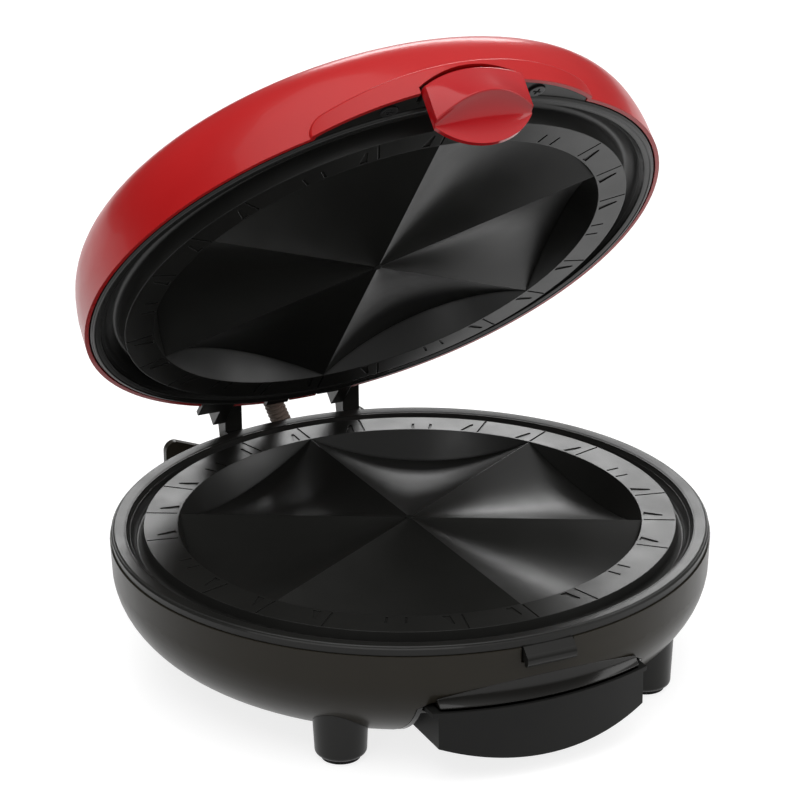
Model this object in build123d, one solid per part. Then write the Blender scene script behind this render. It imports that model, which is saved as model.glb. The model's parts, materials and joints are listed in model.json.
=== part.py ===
"""Quesadilla maker: two six-pocket plates in a bowl-shaped base and a domed, hinged lid.

Millimetres, +Z up. The origin lies on the table under the middle of the base, the latch faces -Y
and the hinge is at +Y. The lid and its latch are modelled shut and then swung up about the hinge.
"""
from build123d import *
from math import acos, asin, atan2, cos, degrees, radians, sin, sqrt, tan
import os

# ---- driving dimensions -------------------------------------------------------------------------
RING_R = 143.0            # outer radius of the base's black frame ring
LID_RING_R = 140.7        # the lid's ring sits inside the dome's lip
RING_TOP = 65.8           # height of the base ring's rim
LID_GAP = 5.0             # between the two rims when the lid is shut
LID_RIM = RING_TOP + LID_GAP
FRAME_Y = 15.5            # the exported frame is centred on the bounding box, this far behind the ring
OPEN_ANGLE = 47.24        # how far the lid stands open at rest
HINGE_Y = 148.5
HINGE_Z = 87.5
WALL = 2.5                # moulded housings
FIT = 0.3                 # gap between neighbouring mouldings

# base bowl
BOWL_R = 143.2
BOWL_EQUATOR = 48.9       # height at which the bowl starts to curve in
BOWL_DEPTH = 52.0
BOWL_SIDE_POWER = 3.4
BOWL_FLOOR_POWER = 1.93
FLOOR_Z = 10.0
LIP_Z = 62.0              # top edge of the bowl
LIP_R = 143.7

# lid dome
DOME_R = 143.5
DOME_START = -7.1         # below the lid rim, where the dome's curve has its origin
DOME_H = 55.6
DOME_SIDE_POWER = 8.0
DOME_TOP_POWER = 3.63
DOME_CROWN = 0.8
DOME_FLAT_R = 12.0
DOME_EDGE = 0.6           # the dome's edge stands this far above the rim
DOME_WALL = 2.0

# plates
PLATE_T = 3.0
POCKET_R = 111.0
POCKETS = 6
FLOOR_SLOPE = 8.0         # degrees, along the middle of a pocket
POCKET_WALL = 22.0        # degrees from vertical
RIDGE_DROP = 0.3          # ridges lie this far under the flat border
HUB_R = 2.0               # flat dot in the middle, where the ridges meet
PLATE_TURN = 1.7          # degrees: the pockets' turn in the casting; the lid's casting is flipped
NOTCH_DEPTH = 0.5         # crimping notches in the flat border
NOTCH_PITCH = 15.0        # degrees
LOWER_BORDER_R = 127.4
LOWER_RISE = 0.8          # flat border above the ring's rim
UPPER_BORDER_R = 125.2
UPPER_RISE = 3.7
GUTTER_FLOOR = -8.6
GUTTER_R = 130.6
PLATE_LIP_R = 134.7
PLATE_LIP_Z = -1.8
SHELF_Z = -11.2           # the plate stands on the ring's shelf here

# heaters
HEATER_R = 74.0
HEATER_TUBE = 3.3
HEATER_Z = -19.2
HEATER_END_X = 14.0       # the two cold ends run to the rear
HEATER_END_Y = 90.0
HEATER_BEND = 9.0

# front hood and latch
HOOD_R = 100.0
HOOD_CENTRE_Y = -55.5
HOOD_HALF = 69.0
HOOD_TOP = 12.4
HOOD_TOP_R = 540.0
HOOD_CORNER = 7.0
HOOD_WALL = 2.2
HOOD_ROUND = 1.4
LATCH_HALF = 23.4
LATCH_AXIS_DROP = 40.0    # the latch's arched top is centred this far under the rim
LATCH_TOP_R = 48.3
LATCH_SLOT_R = 50.0
LATCH_BACK_Y = -151.5
LATCH_FOOT_R = 30.0       # its bottom edge is an arc centred just over the rim
CREST_Y = -166.9          # the crest over the finger scoop, in the middle
CREST_END_Y = -155.4
CREST_DROP = 10.4         # the crest's middle under the rim
CREST_R = 59.5
SCOOP_Y = -157.9          # floor of the scoop at the crest
SCOOP_R = 115.0           # and its bow, seen from above
PIVOT_Y = -148.4
PIVOT_Z = LID_RIM + 3.5
LATCH_PIN_R = 1.25

# hinge
POST_X = 33.0
POST_W = 9.3
KNUCKLE_R = 7.0
PIN_R = 2.5
PIN_BORE = PIN_R + 0.05
LUG_W = 6.5
LUG_REAR_Y = 156.0
LUG_PAD = 12.0            # flange beside the root of each lug

# catch on the base
CATCH_HALF = 12.3
CATCH_NOSE_Y = -148.0
CATCH_UNDER_Z = 53.6

# drip tray and its opening
TRAY_HALF = 51.5
TRAY_FRONT_R = 147.5
TRAY_TOP = 36.0
TRAY_LOW = 9.3
TRAY_SAG_R = 151.6
TRAY_BACK_Y = -78.0
TRAY_WALL = 1.8
MOUTH_HALF = 57.0
MOUTH_SIDE_TOP = 34.5
MOUTH_SHOULDER = (52.0, 38.0)
MOUTH_CROWN = 45.0
GUIDE_WALL = 2.0
GUIDE_ROOF = 38.6

# feet and rear stand
GLAND_Z = 27.0            # the cord's inlet
FOOT_X = 78.7
FOOT_Y = 92.3
FOOT_TOP_R = 13.3
FOOT_LOW_R = 12.0
PAD_T = 2.0
STAND_Y = 175.0
STAND_T = 4.0
STAND_HALF = 58.0
ARM_X = 42.0

# conduit between base and lid
CONDUIT_R = 5.3
DRUM_R = 8.0
DRUM_X = -12.5
CONDUIT_FOOT = (1.5, 150.2, 53.0)
CONDUIT_MID = (-3.8, 149.6, 64.3)


# ---- shared helpers -----------------------------------------------------------------------------
def turned(outline):
    """Solid of revolution about +Z from a closed (radius, height) outline."""
    return revolve(Plane.XZ * make_face(outline), Axis.Z)


def lathe(*points):
    return turned(Polyline(*points, close=True))


def block(x0, x1, y0, y1, z0, z1):
    return Pos((x0 + x1) / 2, (y0 + y1) / 2, (z0 + z1) / 2) * Box(x1 - x0, y1 - y0, z1 - z0)


def upright(x, y, z0, z1, radius):
    return Pos(x, y, (z0 + z1) / 2) * Cylinder(radius, z1 - z0)


def crossbar(x0, x1, y, z, radius):
    return Pos((x0 + x1) / 2, y, z) * Rot(0, 90, 0) * Cylinder(radius, x1 - x0)


def lengthwise(x, y0, y1, z, radius):
    return Pos(x, (y0 + y1) / 2, z) * Rot(90, 0, 0) * Cylinder(radius, y1 - y0)


def side_profile(x0, x1, outline):
    """Extrusion along X of a closed (y, z) outline."""
    return extrude(Plane.YZ.offset(x0) * make_face(outline), x1 - x0)


def front_profile(y0, y1, outline):
    """Extrusion along Y of a closed (x, z) outline."""
    return extrude(Plane.XZ.offset(-y1) * make_face(outline), y1 - y0)


def around(radius, angles):
    return [(radius * cos(radians(a)), radius * sin(radians(a))) for a in angles]


def swung_up(shape):
    """A lid part, from its shut place to its place at rest."""
    return shape.rotate(Axis((0, HINGE_Y, HINGE_Z), (1, 0, 0)), -OPEN_ANGLE)


def onto_lid(shape):
    """A part of the heated stack, made facing up at the ring's rim, turned over for the lid."""
    return Pos(0, 0, LID_RIM) * mirror(shape, Plane.XY)


# ---- heated stack, made facing up with the ring's rim at z = 0 -----------------------------------
def frame_ring(outer):
    return lathe(
        (135.0, -1.0), (135.9, 0), (outer - 0.6, 0), (outer, -0.6), (outer, -3.4), (140.2, -3.4),
        (140.2, SHELF_Z - 2.6), (129.2, SHELF_Z - 2.6), (129.2, SHELF_Z), (137.9, SHELF_Z),
        (137.9, -3.4), (135.0, -3.4))


PLATE_SCREWS = around(132.6, (45, 135, 225, 315))


def plate_screw_holes():
    return [upright(x, y, SHELF_Z - 4, SHELF_Z + 1, 2.3) for x, y in PLATE_SCREWS]


def pocket_cones(sink, reach, turn):
    """Six cones with one apex. Each floor falls outwards at FLOOR_SLOPE, and neighbours meet in a
    straight ridge from the middle to the border. The cones stop at a sloped outer wall."""
    slope = radians(FLOOR_SLOPE)
    half = radians(180 / POCKETS)
    tilt = atan2(cos(slope) - cos(half), sin(slope))
    opening = acos(cos(tilt) * cos(half))
    length = 150.0
    cone = Pos(0, 0, -length / 2) * Cone(length * tan(opening), 0, length)
    cone = Pos(0, 0, sink) * Rot(0, -90 - degrees(tilt), 0) * cone
    lean = tan(radians(POCKET_WALL))
    low = sink - 26
    wall = lathe((HUB_R, low), (reach + lean * (low - sink), low), (reach + lean, sink + 1),
                 (HUB_R, sink + 1))
    wedge = cone & wall
    return [Rot(0, 0, turn + i * 360 / POCKETS) * wedge for i in range(POCKETS)]


def border_notches(border_r, rise, turn):
    """Crimping notches in the flat border, one place every NOTCH_PITCH degrees: two short bars
    over the middle of each pocket, and elsewhere a long bar with a tapered one beside it. The
    pattern is mirrored about the pocket at -60 degrees."""
    start = POCKET_R + 1.0
    floor = rise - NOTCH_DEPTH
    long_bar = block(start, border_r - 0.4, -0.5, 0.5, floor, rise + 1)
    short_bar = block(start, start + 6.5, -0.6, 0.6, floor, rise + 1)
    tapered = Polyline((start, 5.4), (start, 9.2), (start + 8.6, 6.4), (start + 9.4, 5.6),
                       (start + 8.8, 4.9), (start, 5.4))
    tapered = Pos(0, 0, floor) * extrude(make_face(tapered), NOTCH_DEPTH + 1)
    notches = []
    for i in range(round(360 / NOTCH_PITCH)):
        angle = i * NOTCH_PITCH
        if angle % (360 / POCKETS) == 0:
            bars = [Rot(0, 0, side * 2.2) * short_bar for side in (-1, 1)]
        elif (angle + 60) % 360 < 180:
            bars = [long_bar, tapered]
        else:
            bars = [long_bar, mirror(tapered, Plane.XZ)]
        notches += [Rot(0, 0, angle + turn) * bar for bar in bars]
    return notches


def plate(border_r, rise, turn):
    """Cast plate: flat border, gutter and lip turned, six pockets pressed through it."""
    foot_r = border_r + 1.2
    rim = Polyline((0, rise), (border_r, rise), (foot_r, GUTTER_FLOOR), (GUTTER_R, GUTTER_FLOOR))
    rim += RadiusArc((GUTTER_R, GUTTER_FLOOR), (133.9, PLATE_LIP_Z), -9.0)
    rim += Polyline(
        (133.9, PLATE_LIP_Z), (PLATE_LIP_R, PLATE_LIP_Z), (PLATE_LIP_R, -4.6), (132.4, -9.0),
        (132.4, SHELF_Z), (foot_r - 2.6, SHELF_Z), (border_r - 2.6, rise - PLATE_T),
        (0, rise - PLATE_T), (0, rise))
    body = turned(rim)
    ridge_z = rise - RIDGE_DROP
    top = lathe((0, ridge_z - 30), (RING_R, ridge_z - 30), (RING_R, rise), (0, rise))
    for wedge in pocket_cones(ridge_z - PLATE_T, POCKET_R + PLATE_T, turn):
        body += wedge & top
    channel = HEATER_TUBE + 2.2
    body += lathe(
        (HEATER_R - channel, HEATER_Z), (HEATER_R + channel, HEATER_Z),
        (HEATER_R + channel, rise - 2), (HEATER_R - channel, rise - 2))
    for x, y in around(95, (90, 210, 330)):
        body += upright(x, y, REFLECTOR_Z, rise - 2, 4.0)
        body -= upright(x, y, REFLECTOR_Z - 1, REFLECTOR_Z + 8, 1.52)
    for x, y in PLATE_SCREWS:
        body -= upright(x, y, SHELF_Z - 1, SHELF_Z + 1.6, 1.72)
    for wedge in pocket_cones(ridge_z, POCKET_R, turn):
        body -= wedge
    for notch in border_notches(border_r, rise, turn):
        body -= notch
    body -= Pos(0, 0, HEATER_Z) * Torus(HEATER_R, HEATER_TUBE + 0.15)
    for x0, x1 in ((-26, -9.4), (9.4, 26)):
        body -= block(x0, x1, 66, 84, HEATER_Z - 1, HEATER_Z + 4)
    return body


REFLECTOR_Z = -24.2       # underside of the plate's bosses, where the reflector is screwed on


def heater():
    """Sheathed element bent to a ring, open at the rear, with two cold ends and their pins."""
    bend_x = HEATER_END_X + HEATER_BEND
    bend_y = sqrt((HEATER_R + HEATER_BEND) ** 2 - bend_x ** 2)
    share = HEATER_R / (HEATER_R + HEATER_BEND)
    leave = (bend_x * share, bend_y * share)
    path = ThreePointArc(leave, (0, -HEATER_R), (-leave[0], leave[1]))
    heading = (-leave[1], leave[0])
    for sign in (1, -1):
        end = (sign * HEATER_END_X, bend_y)
        bend = TangentArc((sign * leave[0], leave[1]), end, tangent=(sign * heading[0], heading[1]))
        path += bend + Line(end, (sign * HEATER_END_X, HEATER_END_Y))
    path = Pos(0, 0, HEATER_Z) * path
    start = Plane(origin=(HEATER_END_X, HEATER_END_Y, HEATER_Z), z_dir=(0, -1, 0))
    loop = sweep(start * Circle(HEATER_TUBE), path)
    for x in (-HEATER_END_X, HEATER_END_X):
        loop += lengthwise(x, HEATER_END_Y - 1, HEATER_END_Y + 12, HEATER_Z, 1.4)
    return loop


def reflector():
    """Pressed pan under the heater, flanged against the plate's gutter."""
    low = REFLECTOR_Z
    pan = lathe(
        (0, low - 0.8), (102.4, low - 0.8), (121.4, SHELF_Z - 0.8), (127.6, SHELF_Z - 0.8),
        (127.6, SHELF_Z), (121.0, SHELF_Z), (102.0, low), (0, low))
    for x, y in around(95, (90, 210, 330)):
        pan -= upright(x, y, low - 2, low + 1, 1.7)
    for x in (-HEATER_END_X, HEATER_END_X):
        pan -= lengthwise(x, 85, 140, HEATER_Z, 4.4)
    return pan


def reflector_screws():
    low = REFLECTOR_Z - 0.8
    return [cap_screw(x, y, low, 7.0, 1.5, 3.2) for x, y in around(95, (90, 210, 330))]


def plate_screws():
    low = SHELF_Z - 2.6
    return [cap_screw(x, y, low, 4.0, 1.7, 4.0) for x, y in PLATE_SCREWS]


def cap_screw(x, y, seat, reach, shank_r, head_r):
    """Pan-head screw driven upwards: its head hangs under the seat, with a cross recess."""
    head = Pos(x, y, seat - 1.0) * Cylinder(head_r, 2.0)
    head += upright(x, y, seat, seat + reach, shank_r)
    for turn in (0, 90):
        head -= Pos(x, y, seat - 1.7) * Rot(0, 0, turn) * Box(head_r * 1.1, 0.9, 0.8)
    return head


# ---- base ----------------------------------------------------------------------------------------
def bowl(inset, top):
    radius = BOWL_R - inset
    depth = BOWL_DEPTH - inset
    floor = FLOOR_Z + inset
    last = asin(((BOWL_EQUATOR - floor) / depth) ** (BOWL_FLOOR_POWER / 2))
    steps = [last * i / 6 for i in range(7)]
    curve = [(radius * cos(a) ** (2 / BOWL_SIDE_POWER),
              BOWL_EQUATOR - depth * sin(a) ** (2 / BOWL_FLOOR_POWER)) for a in steps]
    outline = Spline(*curve) + Polyline(
        curve[-1], (0, floor), (0, top), (LIP_R - inset, top), (radius, BOWL_EQUATOR))
    return turned(outline)


def mouth_outline(inset, low):
    """Arched opening for the drip tray, seen from the front."""
    half = MOUTH_HALF - inset
    shoulder_x, shoulder_z = MOUTH_SHOULDER[0] - inset / 2, MOUTH_SHOULDER[1] - inset
    crown = (0, MOUTH_CROWN - inset)
    outline = Polyline((-half, MOUTH_SIDE_TOP), (-half, low), (half, low), (half, MOUTH_SIDE_TOP))
    outline += Line((half, MOUTH_SIDE_TOP), (shoulder_x, shoulder_z))
    outline += ThreePointArc((shoulder_x, shoulder_z), crown, (-shoulder_x, shoulder_z))
    outline += Line((-shoulder_x, shoulder_z), (-half, MOUTH_SIDE_TOP))
    return outline


def hinge_post_outline():
    """Side view of a hinge post, rounded about the hinge pin."""
    left, right = HINGE_Y - KNUCKLE_R, HINGE_Y + KNUCKLE_R
    outline = ThreePointArc((left, HINGE_Z), (HINGE_Y, HINGE_Z + KNUCKLE_R), (right, HINGE_Z))
    outline += Polyline((right, HINGE_Z), (150.0, 60.0), (139.0, 44.0), (136.0, 60.6),
                        (left, 60.6), (left, HINGE_Z))
    return outline


COVER_T = 3.0             # the black cover on the front of each hinge post


def hinge_posts():
    posts = []
    for x in (-POST_X, POST_X):
        post = side_profile(x - POST_W / 2, x + POST_W / 2, hinge_post_outline())
        cover_room = block(x - 8, x + 8, 120, HINGE_Y - KNUCKLE_R + COVER_T, 60.6, 110)
        post -= cover_room
        post -= crossbar(x - 8, x + 8, HINGE_Y, HINGE_Z, PIN_BORE)
        posts.append(post)
    return posts


def foot_places():
    return [(sx * FOOT_X, sy * FOOT_Y) for sy in (-1, 1) for sx in (-1, 1)]


def base_shell():
    inside = bowl(WALL, LIP_Z + 1)
    shell = bowl(0, LIP_Z) - inside
    for post in hinge_posts():
        shell += post - inside
    for x, y in foot_places():
        shell += upright(x, y, FLOOR_Z + 1, 34, 5.0) & bowl(1.0, LIP_Z)
    shell -= front_profile(-170, TRAY_BACK_Y + 5.5, mouth_outline(0, 0))
    shell -= block(-13, 13, -160, -136, CATCH_UNDER_Z + 1, LIP_Z + 5)
    shell -= lengthwise(0, 120, 160, GLAND_Z, 7.2)
    for sign in (-1, 1):
        shell -= lengthwise(sign * ARM_X, 120, 160, 32, 1.75)
    shell -= lengthwise(CONDUIT_FOOT[0], 130, CONDUIT_FOOT[1], 46, 2.6)
    for x, y in foot_places():
        shell -= upright(x, y, 0, 30, 1.75)
    for row in (-20, 20, 60):
        for i in range(-3, 4):
            shell -= block(i * 14 - 1.6, i * 14 + 1.6, row - 13, row + 13, 0, 13)
    return shell


def catch():
    """Nose under which the latch's tooth hooks, on a sloped web from the ring's skirt."""
    outline = Polyline((-139.0, 62.4), (-143.4, 62.4), (-146.4, 59.4))
    outline += ThreePointArc((-146.4, 59.4), (CATCH_NOSE_Y, 56.4), (-146.4, CATCH_UNDER_Z))
    outline += Polyline((-146.4, CATCH_UNDER_Z), (-144.6, CATCH_UNDER_Z), (-144.6, 55.6),
                        (-139.0, 55.6), (-139.0, 62.4))
    return side_profile(-CATCH_HALF, CATCH_HALF, outline)


def base_ring():
    ring = Pos(0, 0, RING_TOP) * frame_ring(RING_R)
    ring += catch()
    front = HINGE_Y - KNUCKLE_R
    for x in (-POST_X, POST_X):
        cover = side_profile(x - POST_W / 2, x + POST_W / 2, hinge_post_outline())
        cover &= block(x - 8, x + 8, front, front + COVER_T, RING_TOP - 3.4, 110)
        cover += block(x - POST_W / 2, x + POST_W / 2, 136.5, front + COVER_T,
                       RING_TOP - 3.4, RING_TOP)
        ring += cover - crossbar(x - 8, x + 8, HINGE_Y, HINGE_Z, PIN_BORE)
    for hole in plate_screw_holes():
        ring -= Pos(0, 0, RING_TOP) * hole
    return ring - upright(0, DRAIN_Y, 45, 56, 4.7)


DRAIN_Y = -(GUTTER_R - 1.0)


def lower_plate():
    body = Pos(0, 0, RING_TOP) * plate(LOWER_BORDER_R, LOWER_RISE, PLATE_TURN)
    body += upright(0, 0, 56, RING_TOP - 3, 9.5)
    return body - upright(0, DRAIN_Y, 50, 60, 1.8)


def lower_reflector():
    pan = Pos(0, 0, RING_TOP) * reflector()
    return pan - upright(0, DRAIN_Y, 45, 60, 4.8)


def drip_spout():
    tube = upright(0, DRAIN_Y, 40.0, 54.4, 4.2)
    tube += upright(0, DRAIN_Y, 45.2, 46.6, 6.0)
    return tube - upright(0, DRAIN_Y, 39, 55, 2.6)


def tray_guide():
    """Black liner of the tray opening: arched mouth, flat roof, back wall and two rails."""
    back = TRAY_BACK_Y + 5.0
    step_y = -121.0
    mouth = front_profile(-170, step_y, mouth_outline(FIT, 15.0))
    mouth -= front_profile(-170, step_y - GUIDE_WALL, mouth_outline(FIT + GUIDE_WALL, 10.0))
    half = MOUTH_HALF - FIT
    roof = GUIDE_ROOF + 1.8
    tunnel = block(-half, half, step_y - GUIDE_WALL, back, 15.0, roof)
    tunnel -= block(GUIDE_WALL - half, half - GUIDE_WALL, step_y - 10, back - GUIDE_WALL, 10,
                    GUIDE_ROOF)
    mouth -= block(GUIDE_WALL - half, half - GUIDE_WALL, -180, step_y + 1, 10, GUIDE_ROOF)
    guide = mouth + tunnel
    for sign in (-1, 1):
        x0, x1 = sorted((sign * 52.3, sign * (half - 1)))
        guide += block(x0, x1, -128, back - 1, TRAY_TOP - 4.2, TRAY_TOP - 2.3)
    guide &= bowl(0, LIP_Z)
    return guide - upright(0, DRAIN_Y, 30, 50, 4.5)


def tray_trough(half, low, front_r, back_y, top):
    """Drawer body: curved bottom, straight sides and an arched front."""
    height = TRAY_SAG_R + low
    outline = Polyline((-half, top), (half, top), (half, height - sqrt(TRAY_SAG_R ** 2 - half ** 2)))
    end = height - sqrt(TRAY_SAG_R ** 2 - half ** 2)
    outline += ThreePointArc((half, end), (0, low), (-half, end))
    outline += Line((-half, end), (-half, top))
    trough = front_profile(-front_r - 5, back_y, outline)
    return trough & Pos(0, 0, 25) * Cylinder(front_r, 60)


def drip_tray():
    tray = tray_trough(TRAY_HALF, TRAY_LOW, TRAY_FRONT_R, TRAY_BACK_Y, TRAY_TOP)
    tray -= tray_trough(TRAY_HALF - TRAY_WALL, TRAY_LOW + TRAY_WALL, TRAY_FRONT_R - TRAY_WALL,
                        TRAY_BACK_Y - TRAY_WALL, TRAY_TOP + 5)
    for sign in (-1, 1):
        x0, x1 = sorted((sign * (TRAY_HALF - 1), sign * 53.8))
        flange = block(x0, x1, -160, TRAY_BACK_Y, TRAY_TOP - 2, TRAY_TOP)
        tray += flange & Pos(0, 0, 25) * Cylinder(TRAY_FRONT_R, 60)
    return tray


def foot(x, y):
    """Tapered hollow foot cut to the bowl, with a rounded bottom edge."""
    outline = Polyline((0, PAD_T), (FOOT_LOW_R - 2.5, PAD_T))
    outline += RadiusArc((FOOT_LOW_R - 2.5, PAD_T), (FOOT_LOW_R, PAD_T + 2.5), -2.5)
    outline += Polyline((FOOT_LOW_R, PAD_T + 2.5), (FOOT_TOP_R, 32), (0, 32), (0, PAD_T))
    body = Pos(x, y, 0) * turned(outline)
    body -= upright(x, y, 0, 7.5, 5.2)
    body -= upright(x, y, 0, 30, 1.9)
    return body - bowl(0, LIP_Z)


def foot_pads():
    pads = []
    for x, y in foot_places():
        pads.append(upright(x, y, 0, PAD_T, 9.0) - upright(x, y, -1, PAD_T + 1, 5.6))
    return pads


def foot_screws():
    return [cap_screw(x, y, 7.5, 15.0, 1.7, 4.2) for x, y in foot_places()]


def rear_stand():
    """Dog-bone plate on two hollow arms: the cord winds round the arms, and the maker can be
    stood upright on the plate."""
    half, waist = STAND_HALF, 30.0
    outline = Polyline((-waist, 42), (waist, 42), (half - 6, 50.5))
    outline += RadiusArc((half - 6, 50.5), (half, 45), 5.5)
    outline += Polyline((half, 45), (half, 20))
    outline += RadiusArc((half, 20), (half - 6, 14.5), 5.5)
    outline += Polyline((half - 6, 14.5), (waist, 22), (-waist, 22), (6 - half, 14.5))
    outline += RadiusArc((6 - half, 14.5), (-half, 20), 5.5)
    outline += Line((-half, 20), (-half, 45))
    outline += RadiusArc((-half, 45), (6 - half, 50.5), 5.5)
    outline += Line((6 - half, 50.5), (-waist, 42))
    stand = front_profile(STAND_Y, STAND_Y + STAND_T, outline)
    for sign in (-1, 1):
        x = sign * ARM_X
        arm = block(x - 7, x + 7, 125, STAND_Y + 0.5, 24, 40)
        arm -= block(x - 4.6, x + 4.6, 141, STAND_Y + STAND_T + 1, 26.4, 37.6)
        stand += arm
        stand -= block(x - 4.6, x + 4.6, 141, STAND_Y + STAND_T + 1, 26.4, 37.6)
        stand -= lengthwise(x, 120, 145, 32, 1.9)
    return stand - bowl(0, LIP_Z)


def stand_screws():
    screws = []
    for sign in (-1, 1):
        x = sign * ARM_X
        screw = lengthwise(x, 141, 143, 32, 3.6)
        screw += lengthwise(x, 131, 141, 32, 1.7)
        screw -= Pos(x, 142.7, 32) * Box(4.2, 0.8, 1.0)
        screw -= Pos(x, 142.7, 32) * Box(1.0, 0.8, 4.2)
        screws.append(screw)
    return screws


def cord_gland():
    """Grommet of the supply cord's inlet, at the rear between the stand's arms."""
    flange = lengthwise(0, 128, 145, GLAND_Z, 9.0) - bowl(0, LIP_Z)
    gland = lengthwise(0, 126, 151, GLAND_Z, 7.0) + flange
    return gland - lengthwise(0, 120, 160, GLAND_Z, 3.6)


def conduit_socket():
    """Block on the back of the bowl that the ribbed conduit comes out of."""
    x, y, z = CONDUIT_FOOT
    socket = block(x - 9, x + 9, 138, y + 8.6, 40, z + 4)
    socket = fillet(socket.edges().filter_by(Axis.Z).group_by(Axis.Y)[-1], 5.0)
    seat = Plane(origin=CONDUIT_FOOT, z_dir=Vector(*CONDUIT_MID) - Vector(*CONDUIT_FOOT))
    socket -= seat * Pos(0, 0, 6) * Cylinder(CONDUIT_R + FIT, 12)
    socket -= upright(x, y, 42, z + 1, CONDUIT_R - 1.8)
    socket -= lengthwise(x, 130, y, 46, 2.6)
    return socket - bowl(0, LIP_Z)


def conduit_tip():
    """Where the conduit meets the drum round the hinge axis, and its direction there."""
    start = Vector(*CONDUIT_MID)
    aim = Vector(DRUM_X, HINGE_Y + 0.9, HINGE_Z)
    towards = (aim - start).normalized()
    lean = Vector(0, 0, 1).get_angle(towards)
    clearance = DRUM_R / cos(radians(lean)) + CONDUIT_R * tan(radians(lean)) + FIT
    return start + towards * ((aim - start).length - clearance)


def conduit():
    """Ribbed tube on two straight runs and one arc. Its rings are turned on the runs."""
    foot, mid, tip = Vector(*CONDUIT_FOOT), Vector(*CONDUIT_MID), conduit_tip()
    lower, upper = (mid - foot).normalized(), (tip - mid).normalized()
    tube = swept_tube([foot, mid, tip], CONDUIT_R - 0.8)
    for start, way, length in ((foot, lower, (mid - foot).length), (mid, upper, (tip - mid).length)):
        count = int(length / 2.4)
        for i in range(count):
            centre = start + way * ((i + 0.5) * length / count)
            tube += Plane(origin=centre, z_dir=way) * Cylinder(CONDUIT_R, 1.3)
    return tube


def swept_tube(points, radius):
    runs = [(b - a).length for a, b in zip(points, points[1:])]
    turn = (points[1] - points[0]).get_angle(points[2] - points[1])
    bend = 0.45 * min(runs) / tan(radians(turn / 2))
    path = FilletPolyline(*points, radius=bend)
    start = Plane(origin=path @ 0, z_dir=path % 0)
    return sweep(start * Circle(radius), path)


def hinge_pin(side):
    """Headed steel pin: pressed in the post, it carries the lid's lug on the -X side."""
    inner = side * POST_X + POST_W / 2 - 1.0
    outer = side * POST_X - POST_W / 2 - FIT - LUG_W - 0.2
    pin = crossbar(outer, inner, HINGE_Y, HINGE_Z, PIN_R)
    return pin + crossbar(outer - 1.6, outer, HINGE_Y, HINGE_Z, 4.2)


def thermostat():
    """Bimetal thermostat on the plate's middle boss, with two blade terminals."""
    can = upright(0, 0, 47.4, 55.9, 8.4)
    can += upright(0, 0, 50.0, 51.2, 9.6)
    for sign in (-1, 1):
        can += block(sign * 4 - 0.4, sign * 4 + 0.4, -3, 3, 43.2, 47.6)
    return can


def thermal_fuse(x, y, z):
    fuse = Pos(x, y, z) * Rot(0, 90, 0) * Cylinder(2.0, 12)
    return fuse + Pos(x, y, z) * Rot(0, 90, 0) * Cylinder(0.5, 26)


def terminal_block():
    body = block(-18, 18, 62, 78, FLOOR_Z + WALL, 27)
    for x in (-12, 0, 12):
        body -= upright(x, 70, 20, 30, 2.2)
        body -= lengthwise(x, 55, 90, 19, 1.8)
    return body


# ---- lid, modelled shut --------------------------------------------------------------------------
def dome(inset, bottom):
    radius = DOME_R - inset
    height = DOME_H - inset
    origin = LID_RIM + DOME_START
    steps = [radians(a) for a in (6, 14, 24, 36, 48, 60, 72, 82)]
    curve = [(radius * cos(a) ** (2 / DOME_SIDE_POWER), origin + height * sin(a) ** (2 / DOME_TOP_POWER))
             for a in steps]
    top = origin + height + DOME_CROWN
    outline = Spline(*curve, (DOME_FLAT_R, top), tangents=[(0, 1), (-1, 0)])
    outline += Polyline((DOME_FLAT_R, top), (0, top), (0, bottom), (radius, bottom), curve[0])
    return turned(outline)


def hood(inset, bottom):
    """Band over the latch: bowed in plan, with an arched top and rounded ends."""
    half = HOOD_HALF - inset
    crown = LID_RIM + HOOD_TOP - inset
    shoulder = crown - HOOD_TOP_R + sqrt(HOOD_TOP_R ** 2 - half ** 2)
    outline = Polyline((-half, shoulder), (-half, bottom), (half, bottom), (half, shoulder))
    outline += ThreePointArc((half, shoulder), (0, crown), (-half, shoulder))
    band = front_profile(-200, -95, outline)
    ends = band.edges().filter_by(Axis.Y).group_by(Axis.Z)[-1]
    band = fillet(ends, HOOD_CORNER - inset)
    return band & (Pos(0, HOOD_CENTRE_Y, LID_RIM + 15) * Cylinder(HOOD_R - inset, 60))


def hood_edges(lip, edge):
    """The hood's outer edge: up one end, over the top and down the other."""
    picked = []
    for line in lip.edges():
        middle = line @ 0.5
        reach = sqrt(middle.X ** 2 + (middle.Y - HOOD_CENTRE_Y) ** 2)
        if abs(reach - HOOD_R) < 0.01 and middle.Z > edge + 1:
            picked.append(line)
    return picked


def lug_places():
    """X range of each lid lug, on the -X side of its post."""
    return [(side * POST_X - POST_W / 2 - FIT - LUG_W, side * POST_X - POST_W / 2 - FIT)
            for side in (-1, 1)]


SCREW_X, SCREW_Y = 36.0, -140.5
LENS_X, LENS_Y = 13.0, -92.0


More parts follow.
